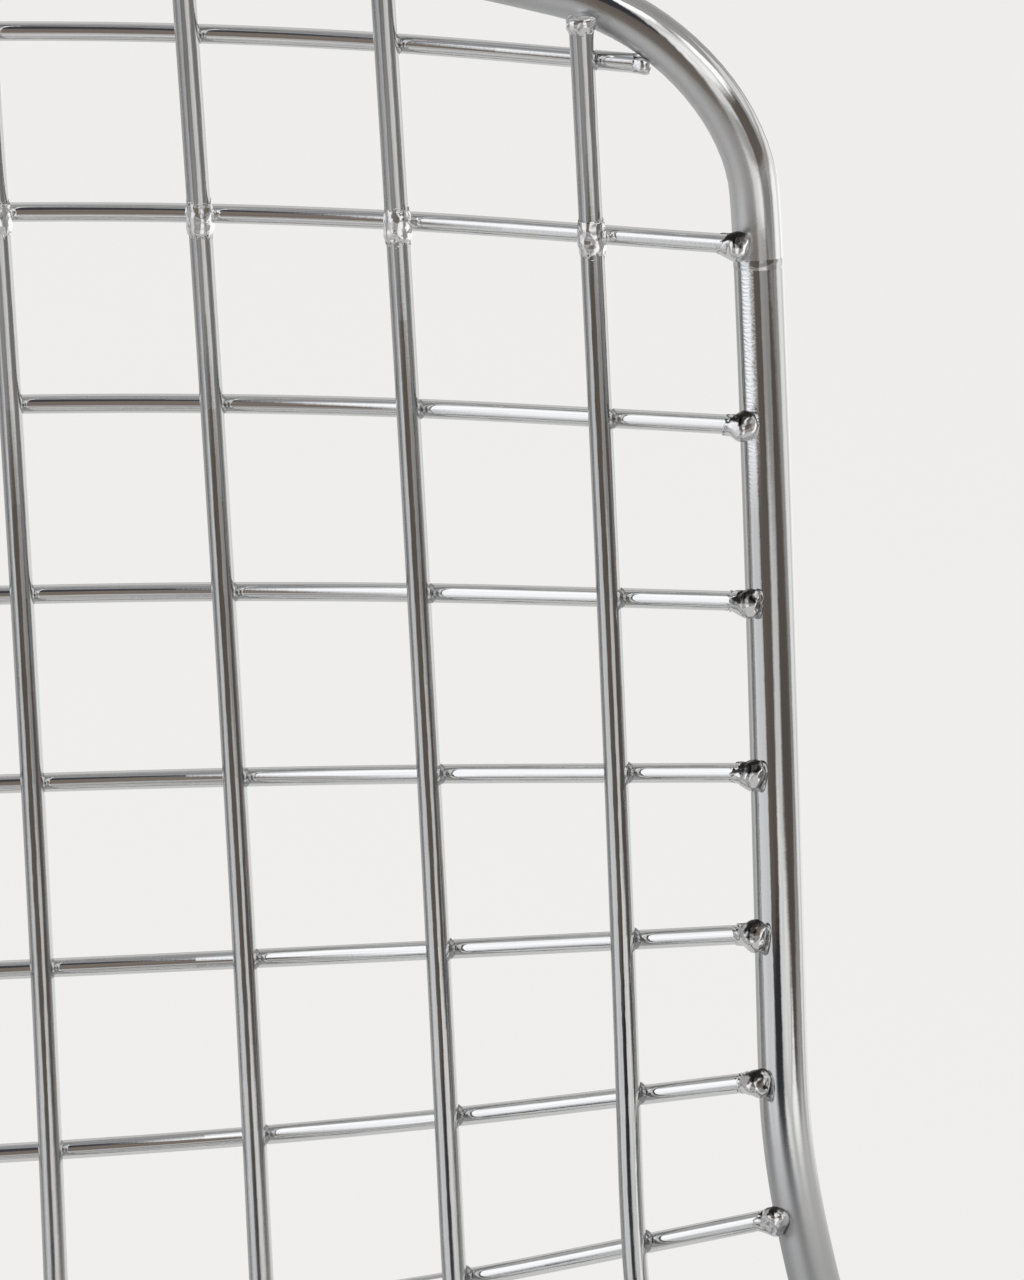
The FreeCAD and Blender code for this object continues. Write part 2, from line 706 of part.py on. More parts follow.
def bearer(s):
    """A flat strap, bent to the seat's bowl and butted against the top runs of the side frames."""
    up = square(s)
    along = Vector(1, 0, 0).cross(up)
    centre = shell(0, s) + up / bowl(s)
    reach = math.degrees(math.asin(bowl(s) * TOP_RUN_X))
    low = shell(0, s) + up * (BEARER_N - BEARER_THICK) - along * (BEARER_WIDTH / 2)
    corners = [low, low + along * BEARER_WIDTH, low + along * BEARER_WIDTH + up * BEARER_THICK,
               low + up * BEARER_THICK]
    face = Part.Face(Part.makePolygon(corners + [low]))
    face.rotate(centre, along, -reach)
    strap = face.revolve(centre, along, 2 * reach)
    cuts = []
    for side in (1, -1):
        top = [Vector(side * p.x, p.y, p.z) for p in (FRAME[1], FRAME[2])]
        cuts.append(stub_rod((top[0] + top[1]) * 0.5, (top[1] - top[0]).normalize(), LEG_D + 2 * TOUCH,
                             (top[1] - top[0]).Length))
        x = side * clamp_x(s)
        cuts.append(stub_rod(shell(x, s, BEARER_N), shell_normal(x, s), SCREW_HOLE_D, 4 * BEARER_THICK))
    return max(strap.cut(cuts).Solids, key=lambda solid: solid.Volume)


def at_clamp(shape, s, side, n):
    """Move a piece that was made round the Z axis to a clamp, with its origin n above the shell."""
    return on_wire(shape, side * clamp_x(s), s, n)


def hexagon(width, height):
    r = width / math.sqrt(3)
    turns = [math.radians(60 * i) for i in range(7)]
    corners = [Vector(r * math.cos(a), r * math.sin(a), 0) for a in turns]
    return Part.Face(Part.makePolygon(corners)).extrude(UP * height)


def clamp_plate():
    corner_at = Vector(-CLAMP_LENGTH / 2, -CLAMP_WIDTH / 2, 0)
    plate = Part.makeBox(CLAMP_LENGTH, CLAMP_WIDTH, CLAMP_THICK, corner_at)
    uprights = [e for e in plate.Edges if abs(e.tangentAt(e.FirstParameter).z) > 0.9]
    plate = plate.makeFillet(PLATE_CORNER, uprights)
    return plate.cut(Part.makeCylinder(SCREW_HOLE_D / 2, 4 * CLAMP_THICK, UP * (-2 * CLAMP_THICK)))


def rubber_pad():
    pad = Part.makeBox(PAD_SIZE, PAD_SIZE, PAD_THICK, Vector(-PAD_SIZE / 2, -PAD_SIZE / 2, 0))
    uprights = [e for e in pad.Edges if abs(e.tangentAt(e.FirstParameter).z) > 0.9]
    pad = pad.makeFillet(PLATE_CORNER, uprights)
    return pad.cut(Part.makeCylinder(SCREW_HOLE_D / 2, 4 * PAD_THICK, UP * (-2 * PAD_THICK)))


SCREW_LENGTH = CLAMP_THICK + CLAMP_N - BEARER_N + BEARER_THICK + WASHER_THICK + NUT_THICK + SCREW_PAST_NUT


def clamp_screw():
    """Button head above, shank below the origin."""
    head = Part.makeCylinder(SCREW_HEAD_D / 2, SCREW_HEAD_H)
    rim = [e for e in head.Edges if e.Length > SCREW_HEAD_D and e.CenterOfMass.z > SCREW_HEAD_H / 2]
    head = head.makeFillet(SCREW_HEAD_ROUND, rim)
    shank = Part.makeCylinder(SCREW_D / 2, SCREW_LENGTH, UP * -SCREW_LENGTH)
    socket = hexagon(SOCKET_ACROSS, SCREW_HEAD_H)
    socket.translate(UP * (SCREW_HEAD_H - SOCKET_DEPTH))
    return head.fuse(shank).cut(socket)


def washer():
    ring = Part.makeCylinder(WASHER_D / 2, WASHER_THICK, UP * -WASHER_THICK)
    return ring.cut(Part.makeCylinder(SCREW_HOLE_D / 2, 4 * WASHER_THICK, UP * (-2 * WASHER_THICK)))


def lock_nut():
    nut = hexagon(NUT_ACROSS, NUT_THICK)
    nut.translate(UP * -NUT_THICK)
    return nut.cut(Part.makeCylinder(SCREW_D / 2 + TOUCH, 4 * NUT_THICK, UP * (-2 * NUT_THICK)))


def glide(side, y):
    """A plastic clip that snaps on the floor rod from below, with a flat sole."""
    x = side * FLOOR_HALF_WIDTH
    outer = LEG_D / 2 + GLIDE_WALL
    start = Vector(x, y - GLIDE_LENGTH / 2, FLOOR_ROD_Z)
    clip = Part.makeCylinder(outer, GLIDE_LENGTH, start, Vector(0, 1, 0))
    foot = Part.makeBox(GLIDE_SOLE, GLIDE_LENGTH, FLOOR_ROD_Z, Vector(x - GLIDE_SOLE / 2, start.y, 0))
    above = Part.makeBox(4 * outer, 2 * GLIDE_LENGTH, 2 * outer,
                         Vector(x - 2 * outer, y - GLIDE_LENGTH, FLOOR_ROD_Z + GLIDE_MOUTH))
    bore = Part.makeCylinder(LEG_D / 2 + TOUCH, 2 * GLIDE_LENGTH, Vector(x, y - GLIDE_LENGTH, FLOOR_ROD_Z),
                             Vector(0, 1, 0))
    return clip.fuse(foot).removeSplitter().cut([bore, above])


# Assembly

def sides():
    """Long wires that reach the top, from the middle out, with their names."""
    yield 0, "centre"
    for u in range(1, BACK_SIDE_WIRES + 1):
        yield u, f"right_{u}"
        yield -u, f"left_{u}"


os.makedirs("parts", exist_ok=True)


def keep(name, shapes):
    """Write one node, of one solid or a group of separate solids."""
    shape = shapes[0] if len(shapes) == 1 else Part.makeCompound(shapes)
    shape.exportStep(f"parts/{name}.step")
    print(name, len(shape.Solids), round(shape.Volume), shape.isValid())


bow_walls, _, bow_end = rim_half([(0.0, RIM_STARTS[1], TOP_STEP), (RIM_STARTS[1], RIM_STARTS[2], CORNER_STEP),
                                  (RIM_STARTS[2], RIM_JOINT_V, SIDE_STEP)])
bow_half = bow_walls + [Part.Face(Part.Wire([bow_end]))]
keep("top_rim_bow", [close_solid(bow_half + [mirrored(face) for face in bow_half])])

seat_walls, seat_start, _ = rim_half([(RIM_JOINT_V, RIM_STARTS[3], SIDE_STEP),
                                      (RIM_STARTS[3], RIM_STARTS[4], FRONT_CORNER_STEP),
                                      (RIM_STARTS[4], RIM_STARTS[5], FRONT_STEP)])
seat_half = seat_walls + [Part.Face(Part.Wire([seat_start]))]
keep("seat_rim_rod", [close_solid(seat_half + [mirrored(face) for face in seat_half])])

for u, name in sides():
    keep(f"long_wire_{name}", [long_wire(u, 0.0, front_end(u)[0])])
    keep(f"top_stub_{name}", [long_wire(u, top_end(u)[0], 0.0)])
for side, name in ((1, "right"), (-1, "left")):
    edge_wire = long_wire(side * EDGE_WIRE, EDGE_WIRE_START, front_end(EDGE_WIRE)[0])
    keep(f"long_wire_{name}_{EDGE_WIRE}", [edge_wire])
for i, s in enumerate(CROSS_S):
    keep(f"cross_wire_{i + 1:02d}", [cross_wire(s)])

bead = spot_bead()
spots = []
for s in CROSS_S:
    reach = EDGE_WIRE if s > EDGE_WIRE_START else BACK_SIDE_WIRES
    if s != 0.0:
        spots += [on_wire(bead, long_x(u, s), s, (CROSS_D + TOUCH) / 2) for u in range(-reach, reach + 1)]
keep("mesh_spot_welds", spots)
keep("rim_end_welds", [flare_weld(s, side) for s in CROSS_S for side in (1, -1)])
laps = [lap_weld(u, *top_end(u), -1) for u, _ in sides()]
laps += [lap_weld(u, *front_end(u), 1) for u in range(-EDGE_WIRE, EDGE_WIRE + 1)]
laps += [lap_weld(side * EDGE_WIRE, EDGE_WIRE_START, rim_v(EDGE_WIRE_START), -1) for side in (1, -1)]
keep("long_end_welds", laps)
keep("stub_joint_welds", [stub_weld(u) for u, _ in sides()])
rim_collar = collar(rim_place(RIM_JOINT_V), headings(rim_place, [RIM_JOINT_V])[0], RIM_D, RIM_COLLAR_LENGTH,
                    RIM_COLLAR_SWELL)
keep("rim_joint_welds", [rim_collar, mirrored(rim_collar)])

frame = side_frame()
keep("side_frame_right", [frame])
keep("side_frame_left", [mirrored(frame)])
keep("foot_ring", [foot_ring()])
legs = ((FRAME[0], FRAME[1]), (FRAME[3], FRAME[2]))
keep("foot_ring_welds", [ring_weld(low, high, side) for low, high in legs for side in (1, -1)])
keep("rear_bearer", [bearer(BEARER_S[0])])
keep("front_bearer", [bearer(BEARER_S[1])])

clamps = [(s, side) for s in BEARER_S for side in (1, -1)]
keep("clamp_plates", [at_clamp(clamp_plate(), s, side, CLAMP_N) for s, side in clamps])
keep("rubber_pads", [at_clamp(rubber_pad(), s, side, BEARER_N) for s, side in clamps])
keep("clamp_screws", [at_clamp(clamp_screw(), s, side, CLAMP_N + CLAMP_THICK) for s, side in clamps])
keep("clamp_washers", [at_clamp(washer(), s, side, BEARER_N - BEARER_THICK) for s, side in clamps])
NUT_N = BEARER_N - BEARER_THICK - WASHER_THICK
keep("lock_nuts", [at_clamp(lock_nut(), s, side, NUT_N) for s, side in clamps])

for side, across_name in ((1, "right"), (-1, "left")):
    for y, along_name in ((-GLIDE_Y, "front"), (GLIDE_Y, "rear")):
        keep(f"glide_{along_name}_{across_name}", [glide(side, y)])
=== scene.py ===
# %% [markdown]
# # A chromed wire bar stool
#
# The stool is a mesh of steel wire, bent into a seat and a back, with a thicker rim rod round it and a base
# of bent rod. Its rods, clamps and glides come from CAD as a fixed frame. Blender adds what a maker sees from
# close by: the lumpy welds, the bright plating with its small marks, and the room that the chrome mirrors.

# %% Load the frame
import json
import math

import bmesh
import bpy
import numpy as np
from mathutils import Matrix, Vector, noise


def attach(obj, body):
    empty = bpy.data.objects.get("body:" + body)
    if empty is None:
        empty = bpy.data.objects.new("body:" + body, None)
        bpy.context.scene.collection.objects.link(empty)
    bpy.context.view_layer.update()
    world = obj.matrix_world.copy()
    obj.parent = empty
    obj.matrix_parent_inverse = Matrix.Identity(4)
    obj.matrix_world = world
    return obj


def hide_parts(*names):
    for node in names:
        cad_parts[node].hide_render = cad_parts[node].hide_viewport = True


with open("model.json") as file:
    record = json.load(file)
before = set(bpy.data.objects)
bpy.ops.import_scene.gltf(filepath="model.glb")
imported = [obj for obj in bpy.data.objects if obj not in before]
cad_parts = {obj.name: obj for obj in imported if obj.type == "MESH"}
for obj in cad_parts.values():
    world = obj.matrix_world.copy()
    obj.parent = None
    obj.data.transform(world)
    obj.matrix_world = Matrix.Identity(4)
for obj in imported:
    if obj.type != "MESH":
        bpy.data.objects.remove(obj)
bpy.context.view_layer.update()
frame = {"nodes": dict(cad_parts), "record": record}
nodes = frame["nodes"]
scene = bpy.context.scene
scene.view_settings.view_transform = "Standard"

# %% [markdown]
# ## The camera
#
# The picture was taken from the front, a little to the right of the middle, looking down on the back through
# a long lens. The frame is upright, so Blender measures the lens along its height. A camera could be aimed
# with a constraint, but that leaves no say in its roll. So it is turned by hand: first the direction it looks
# in, then the small roll about that direction.

# %% Camera
LENS_MM = 231.8
SENSOR_MM = 36.0
CAMERA_PLACE = Vector((0.1335, -1.2981, 1.7672))
BACK_MIDDLE = Vector((0.1, 0.2, 0.93))
LOOK_RIGHT = math.radians(0.417)
LOOK_DOWN = math.radians(28.747)
ROLL = math.radians(-2.232)

look = Vector((math.sin(LOOK_RIGHT) * math.cos(LOOK_DOWN), math.cos(LOOK_RIGHT) * math.cos(LOOK_DOWN),
               -math.sin(LOOK_DOWN)))
level = look.cross(Vector((0, 0, 1))).normalized()
above = level.cross(look)
right = level * math.cos(ROLL) + above * math.sin(ROLL)
up = above * math.cos(ROLL) - level * math.sin(ROLL)

camera_data = bpy.data.cameras.new("camera")
camera_data.lens = LENS_MM
camera_data.sensor_width = SENSOR_MM
camera = bpy.data.objects.new("camera", camera_data)
turn = Matrix((right, up, -look)).transposed().to_4x4()
camera.matrix_world = Matrix.Translation(CAMERA_PLACE) @ turn
scene.collection.objects.link(camera)
scene.camera = camera
print("camera", round((CAMERA_PLACE - BACK_MIDDLE).length, 2), "m from the back")

# %% [markdown]
# ## The floor
#
# A pale seamless floor. It takes the stool's shadow, and the chrome mirrors it from below. A plain lit disc
# would fall off in brightness away from the lamp. So most of its paleness is given straight to the camera's
# rays, and the rest is lit, which keeps the shadow. A studio floor is brightest near the lamp of the
# backdrop, here at the back right, and its front lies in shade. The camera looks over that shade, but the
# rods mirror it, so mirrors see a floor that brightens towards the back right.

# %% Floor disc
FLOOR_RADIUS = 3.0
FLOOR_SIDES = 96

bm = bmesh.new()
bmesh.ops.create_circle(bm, cap_ends=True, segments=FLOOR_SIDES, radius=FLOOR_RADIUS)
floor_mesh = bpy.data.meshes.new("floor")
bm.to_mesh(floor_mesh)
bm.free()
floor = bpy.data.objects.new("floor", floor_mesh)
scene.collection.objects.link(floor)
print("floor", FLOOR_RADIUS * 2, "m across")


# %% Helpers for materials
def new_material(name):
    """A new material, with its tree of nodes and its main shader."""
    material = bpy.data.materials.new(name)
    material.use_nodes = True
    tree = material.node_tree
    return material, tree, tree.nodes["Principled BSDF"]


def math_node(tree, operation, *values):
    """One Math node. Each value is a number or a socket."""
    node = tree.nodes.new("ShaderNodeMath")
    node.operation = operation
    for socket, value in zip(node.inputs, values):
        if isinstance(value, (int, float)):
            socket.default_value = value
        else:
            tree.links.new(value, socket)
    return node.outputs[0]


def ramp_node(tree, value, start, end, low=0.0, high=1.0, eased=True):
    """low at start and high at end, with an even run between them or an eased one."""
    ramp = tree.nodes.new("ShaderNodeMapRange")
    ramp.interpolation_type = "SMOOTHSTEP" if eased else "LINEAR"
    tree.links.new(value, ramp.inputs["Value"])
    ramp.inputs["From Min"].default_value = start
    ramp.inputs["From Max"].default_value = end
    ramp.inputs["To Min"].default_value = low
    ramp.inputs["To Max"].default_value = high
    return ramp.outputs["Result"]


def place_of(tree):
    """The X, Y and Z of a point of the piece, as a node's outputs."""
    split = tree.nodes.new("ShaderNodeSeparateXYZ")
    tree.links.new(tree.nodes.new("ShaderNodeTexCoord").outputs["Object"], split.inputs[0])
    return split.outputs


print(len(bpy.data.materials), "materials before the first finish")

# %% Floor paint
PALE = (0.863, 0.855, 0.838, 1.0)
FLOOR_ROUGHNESS = 0.9
EVEN_SHARE = 0.7
EVEN_STRENGTH = 1.065
FRONT_STRENGTH = 0.61
BACK_STRENGTH = 1.81
SHADE_TO = 1.5
BRIGHT_FROM = 3.0

floor_paint, tree, shader = new_material("pale_floor")
shader.inputs["Base Color"].default_value = PALE
shader.inputs["Roughness"].default_value = FLOOR_ROUGHNESS
shader.inputs["Specular IOR Level"].default_value = 0.0
path = tree.nodes.new("ShaderNodeLightPath").outputs
place = place_of(tree)
towards_lamp = math_node(tree, "ADD", place["X"], place["Y"])
mirrored = ramp_node(tree, towards_lamp, SHADE_TO, BRIGHT_FROM, FRONT_STRENGTH, BACK_STRENGTH)
by_ray = tree.nodes.new("ShaderNodeMix")
tree.links.new(path["Is Camera Ray"], by_ray.inputs["Factor"])
tree.links.new(mirrored, by_ray.inputs["A"])
by_ray.inputs["B"].default_value = EVEN_STRENGTH
even = tree.nodes.new("ShaderNodeEmission")
even.inputs["Color"].default_value = PALE
tree.links.new(by_ray.outputs["Result"], even.inputs["Strength"])
seen = math_node(tree, "MAXIMUM", path["Is Camera Ray"], path["Is Glossy Ray"])
seen = math_node(tree, "MAXIMUM", seen, path["Is Transmission Ray"])
blend = tree.nodes.new("ShaderNodeMixShader")
tree.links.new(math_node(tree, "MULTIPLY", seen, EVEN_SHARE), blend.inputs["Fac"])
tree.links.new(shader.outputs[0], blend.inputs[1])
tree.links.new(even.outputs[0], blend.inputs[2])
tree.links.new(blend.outputs[0], tree.nodes["Material Output"].inputs["Surface"])
floor_mesh.materials.append(floor_paint)
print(floor_paint.name, "mirrors", FRONT_STRENGTH, "in front and", BACK_STRENGTH, "at the back right")

# %% [markdown]
# ## The room that the chrome mirrors
#
# Bright chrome has no look of its own: every line along a rod is a squeezed picture of the room. Real cards
# on stands would do, but they would also light the floor. So the room is drawn in the world's own nodes. The
# world is pale to the camera. To a mirror it is a dim studio with a few large cards in it: a soft box on the
# left, a lighter one high on the right, dark gaps between them, and the pale backdrop behind. Each card is a
# patch of the sky between two azimuths and two elevations, with a soft edge. A tilt lets its upper and lower
# edges climb along the azimuth.

# %% Directions in the room
world = bpy.data.worlds.new("studio")
world.use_nodes = True
scene.world = world
sky = world.node_tree
sky.nodes.clear()

ray = sky.nodes.new("ShaderNodeTexCoord").outputs["Generated"]
direction = sky.nodes.new("ShaderNodeSeparateXYZ")
sky.links.new(ray, direction.inputs[0])
forward = math_node(sky, "MULTIPLY", direction.outputs["Y"], -1.0)
azimuth = math_node(sky, "DEGREES", math_node(sky, "ARCTAN2", direction.outputs["X"], forward))
elevation = math_node(sky, "DEGREES", math_node(sky, "ARCSINE", direction.outputs["Z"]))
print("azimuth 0 is in front of the stool, and + is on its right")


# %% One card
# A Mix node has sockets for numbers, vectors and colours. These are its colour ones.
UNDER = 6
OVER = 7
MIXED = 2


def band(angle, centre, half, edge):
    """1 within half of the centre, falling to 0 over the edge, in degrees."""
    off = math_node(sky, "ABSOLUTE", math_node(sky, "SUBTRACT", angle, centre))
    return ramp_node(sky, off, half + edge / 2, half - edge / 2)


def card(under, colour, across, upright, tilt=0.0):
    """Lay a card of this colour over the room, or over one plain colour, in the world's nodes.

    across and upright are (centre, half size, edge) in degrees.
    """
    height = elevation
    if tilt:
        height = math_node(sky, "ADD", elevation, math_node(sky, "MULTIPLY", azimuth, tilt))
    mask = math_node(sky, "MULTIPLY", band(azimuth, *across), band(height, *upright))
    mix = sky.nodes.new("ShaderNodeMix")
    mix.data_type = "RGBA"
    sky.links.new(mask, mix.inputs["Factor"])
    if isinstance(under, tuple):
        mix.inputs[UNDER].default_value = (*under, 1.0)
    else:
        sky.links.new(under, mix.inputs[UNDER])
    mix.inputs[OVER].default_value = (*colour, 1.0)
    return mix.outputs[MIXED]


print(len(sky.nodes), "nodes in the world before the first card")

# %% Cards
DIM_ROOM = (0.45, 0.44, 0.43)

# The backdrop, with its bright lower right.
room = card(DIM_ROOM, (0.58, 0.57, 0.555), (-180, 20, 16), (18, 26, 20))
room = card(room, (0.58, 0.57, 0.555), (180, 20, 16), (18, 26, 20))
room = card(room, (0.34, 0.335, 0.33), (-138, 24, 14), (42, 22, 16))
room = card(room, (0.80, 0.79, 0.78), (-130, 16, 10), (-18, 14, 12))
room = card(room, (1.10, 1.09, 1.07), (130, 16, 12), (-12, 14, 10))
room = card(room, (1.30, 1.29, 1.27), (104, 16, 10), (-12, 9, 8))
room = card(room, (0.95, 0.94, 0.93), (118, 16, 12), (20, 12, 10))

# The dim ceiling on the left and the dark front, with a paler stripe at eye level.
room = card(room, (0.29, 0.29, 0.30), (-95, 75, 20), (70, 13, 10))
room = card(room, (0.05, 0.05, 0.057), (-32, 31, 6), (58, 24, 6))
room = card(room, (0.185, 0.156, 0.135), (-22, 24, 5), (27, 22, 8))
room = card(room, (0.46, 0.45, 0.43), (-26, 20, 6), (0, 4, 6))
room = card(room, (0.32, 0.31, 0.30), (-24, 18, 8), (-12, 6, 6))

# The soft box on the left, with a bright middle.
room = card(room, (0.68, 0.68, 0.69), (-66, 20, 5), (-13, 34, 12), tilt=0.35)
room = card(room, (1.06, 1.06, 1.07), (-77, 26, 8), (15, 27, 12), tilt=0.15)

# The boxes high on the right, the dark gap under them and a low reflector.
room = card(room, (0.90, 0.89, 0.88), (38, 32, 12), (68, 9, 8))
room = card(room, (1.60, 1.58, 1.55), (84, 16, 10), (46, 13, 10))
room = card(room, (1.22, 1.21, 1.19), (34, 30, 12), (50, 12, 10))
room = card(room, (0.95, 0.94, 0.93), (22, 14, 10), (31, 8, 8))
room = card(room, (0.155, 0.132, 0.115), (64, 24, 8), (20, 14, 8))
room = card(room, (0.30, 0.29, 0.28), (58, 14, 8), (-6, 10, 8))
room = card(room, (1.05, 1.04, 1.02), (18, 18, 10), (-4, 11, 7))

# Straight above, the dark roof on the left and a bright lamp on the right.
room = card(room, (0.20, 0.20, 0.205), (-90, 95, 10), (90, 12, 6))
room = card(room, (1.60, 1.59, 1.57), (42, 44, 12), (79, 8, 6))
print("cards hung,", len(sky.nodes), "nodes in the world")

# %% Uneven light in the room
DIMMEST = 0.85
BRIGHTEST = 1.15
BLOTCH_SCALE = 3.0
BLOTCH_DETAIL = 3.0
NOISE_LOW = 0.3
NOISE_HIGH = 0.7

blotches = sky.nodes.new("ShaderNodeTexNoise")
blotches.inputs["Scale"].default_value = BLOTCH_SCALE
blotches.inputs["Detail"].default_value = BLOTCH_DETAIL
sky.links.new(ray, blotches.inputs["Vector"])
strength = ramp_node(sky, blotches.outputs["Fac"], NOISE_LOW, NOISE_HIGH, DIMMEST, BRIGHTEST, eased=False)
print("the cards are lit unevenly,", DIMMEST, "to", BRIGHTEST)

# %% Who sees the room
SOFT_SKY = (0.98, 0.99, 1.0, 1.0)
SOFT_STRENGTH = 0.75

mirror_sky = sky.nodes.new("ShaderNodeBackground")
sky.links.new(room, mirror_sky.inputs["Color"])
sky.links.new(strength, mirror_sky.inputs["Strength"])
plain_sky = sky.nodes.new("ShaderNodeBackground")
plain_sky.inputs["Color"].default_value = PALE
soft_sky = sky.nodes.new("ShaderNodeBackground")
soft_sky.inputs["Color"].default_value = SOFT_SKY
soft_sky.inputs["Strength"].default_value = SOFT_STRENGTH

path = sky.nodes.new("ShaderNodeLightPath").outputs
to_mirror = sky.nodes.new("ShaderNodeMixShader")
by_mirror = math_node(sky, "MAXIMUM", path["Is Glossy Ray"], path["Is Transmission Ray"])
sky.links.new(by_mirror, to_mirror.inputs["Fac"])
sky.links.new(soft_sky.outputs[0], to_mirror.inputs[1])
sky.links.new(mirror_sky.outputs[0], to_mirror.inputs[2])
to_camera = sky.nodes.new("ShaderNodeMixShader")
sky.links.new(path["Is Camera Ray"], to_camera.inputs["Fac"])
sky.links.new(to_mirror.outputs[0], to_camera.inputs[1])
sky.links.new(plain_sky.outputs[0], to_camera.inputs[2])
sky.links.new(to_camera.outputs[0], sky.nodes.new("ShaderNodeOutputWorld").inputs["Surface"])
print("the camera sees a pale sky, mirrors see the cards, and the rest is lit by an even sky")

# %% [markdown]
# ## Lamp
#
# One large soft lamp stands where the left soft box is, so that what isn't chrome is lit and shaded from the
# same side. A point lamp would throw a hard shadow, so it is an area. It is left out of mirrors, because the
# room already has its picture.

# %% Lamp
LAMP_PLACE = Vector((-2.2, -1.2, 2.7))
LAMP_AIM = Vector((0.0, 0.3, 0.6))
LAMP_WIDTH = 2.2
LAMP_HEIGHT = 1.8
LAMP_WATTS = 45.0

lamp_data = bpy.data.lights.new("soft_box", "AREA")
lamp_data.shape = "RECTANGLE"
lamp_data.size = LAMP_WIDTH
lamp_data.size_y = LAMP_HEIGHT
lamp_data.energy = LAMP_WATTS
lamp = bpy.data.objects.new("soft_box", lamp_data)
lamp.location = LAMP_PLACE
lamp.rotation_euler = (LAMP_AIM - LAMP_PLACE).to_track_quat("-Z", "Y").to_euler()
lamp.visible_glossy = False
lamp.visible_camera = False
scene.collection.objects.link(lamp)
print("lamp", LAMP_WATTS, "W")

# %% [markdown]
# ## Bright chrome plate
#
# Chrome on polished rod is a mirror with a faint unevenness: slow waves left by drawing and polishing the
# wire, tiny pits, and a haze of handling that dulls it in patches. One roughness all over would look too
# perfect. So roughness comes from a noise, and the waves and pits are a weak bump. A wire is drawn through a
# die, so its marks are long and thin: the noise is squeezed across the wire with a Mapping node. Every long
# wire keeps nearly the same X and every cross wire runs along X, so squeezing X or the other two makes the
# streaks follow the wire. A tone makes a finish brighter or darker than plain chromium.

# %% Helpers for noise and bump
def stretched(tree, scale):
    """Object coordinates, scaled by a number for each axis."""
    mapping = tree.nodes.new("ShaderNodeMapping")
    mapping.inputs["Scale"].default_value = scale
    tree.links.new(tree.nodes.new("ShaderNodeTexCoord").outputs["Object"], mapping.inputs["Vector"])
    return mapping.outputs["Vector"]


def noise_value(tree, scale, detail, low=0.0, high=1.0):
    """A noise over the piece, scaled along each axis and stretched to run from low to high."""
    texture = tree.nodes.new("ShaderNodeTexNoise")
    texture.inputs["Scale"].default_value = 1.0
    texture.inputs["Detail"].default_value = detail
    tree.links.new(stretched(tree, scale), texture.inputs["Vector"])
    return ramp_node(tree, texture.outputs["Fac"], NOISE_LOW, NOISE_HIGH, low, high, eased=False)


def bump_from(tree, height, depth, strength, under=None):
    """A bump of this depth in metres, on top of another one if given."""
    bump = tree.nodes.new("ShaderNodeBump")
    bump.inputs["Distance"].default_value = depth
    bump.inputs["Strength"].default_value = strength
    tree.links.new(height, bump.inputs["Height"])
    if under is not None:
        tree.links.new(under, bump.inputs["Normal"])
    return bump.outputs["Normal"]


print("noise from", NOISE_LOW, "to", NOISE_HIGH, "is stretched to each finish's own range")

# %% Chrome of the cross wires and the base
CHROMIUM = (0.62, 0.625, 0.63)
CLEAREST = 0.03
HAZE_SCALE = (35, 35, 35)
PIT_SCALE = (1500, 1500, 1500)
PIT_DEPTH = 0.00001


def chrome(name, streaks, dull, depth, tone=1.0):
    """Plated rod, as a material with its tree, shader, roughness and normal.

    streaks scales the drawing marks along each axis, dull is the roughness of the haze.
    """
    material, tree, shader = new_material(name)
    shader.inputs["Base Color"].default_value = (*[tone * c for c in CHROMIUM], 1.0)
    shader.inputs["Metallic"].default_value = 1.0
    haze = noise_value(tree, HAZE_SCALE, detail=4.0, low=CLEAREST, high=dull)
    tree.links.new(haze, shader.inputs["Roughness"])
    marks = noise_value(tree, streaks, detail=3.0)
    pits = noise_value(tree, PIT_SCALE, detail=2.0)
    normal = bump_from(tree, marks, depth, strength=0.4)
    normal = bump_from(tree, pits, PIT_DEPTH, strength=0.25, under=normal)
    tree.links.new(normal, shader.inputs["Normal"])
    return material, tree, shader, haze, normal


# Tone 1.42 is painted light: the cross wires carry the same plate as the long wires and the rim, and this is
# a brighter copy of it.
cross_chrome = chrome("cross_wire_chrome", streaks=(25, 500, 500), dull=0.07, depth=0.000012, tone=1.42)[0]
base_chrome = chrome("base_rod_chrome", streaks=(160, 160, 160), dull=0.09, depth=0.00004)[0]
print(cross_chrome.name, "and", base_chrome.name, "of chromium", CHROMIUM)

# %% [markdown]
# ## The long wires' chrome
#
# The long wires lie in front of the cross wires, so it is they that clothes rub against. The lower the place
# on the back, the more they are rubbed, and there the mirror turns to a satin. It could be painted on by
# hand, but the height of a point already says how much it is rubbed, so a ramp over the height adds to the
# roughness.

# %% Chrome of the long wires, rubbed low down
RUBBED_FROM = 0.90
RUBBED_FULL = 0.80
RUBBED_ROUGHNESS = 0.26

# Tone 0.78 is painted shade: a darker copy of the same plate as the cross wires.
long_chrome, tree, shader, haze, _ = chrome(
    "long_wire_chrome", streaks=(700, 60, 60), dull=0.12, depth=0.00006, tone=0.78)
height = place_of(tree)["Z"]
rubbed = ramp_node(tree, height, RUBBED_FULL, RUBBED_FROM, low=RUBBED_ROUGHNESS, high=0.0, eased=False)
tree.links.new(math_node(tree, "ADD", haze, rubbed), shader.inputs["Roughness"])
print(long_chrome.name, "is duller by", RUBBED_ROUGHNESS, "at", RUBBED_FULL, "m")

# %% [markdown]
# ## The top bow's chrome
#
# The polishing wheel gets at the outside of the bow easily and at the inside of its bend poorly, so the
# outside is a mirror and the inside a satin. Two materials would meet in a line. So one material reads which
# side it is on from the angle between the surface and the line out from the middle of the back.

# %% Chrome of the top bow, satin inside its bend
BOW_MIDDLE = (0.0, 0.0, 0.95)
# Depth doesn't count, and height counts twice, because the bow is wider than it is high.
BOW_SHAPE = (1.0, 0.0, 2.0)
INSIDE = -0.1
OUTSIDE = 0.4
SATIN = 0.42
MIRROR = 0.06

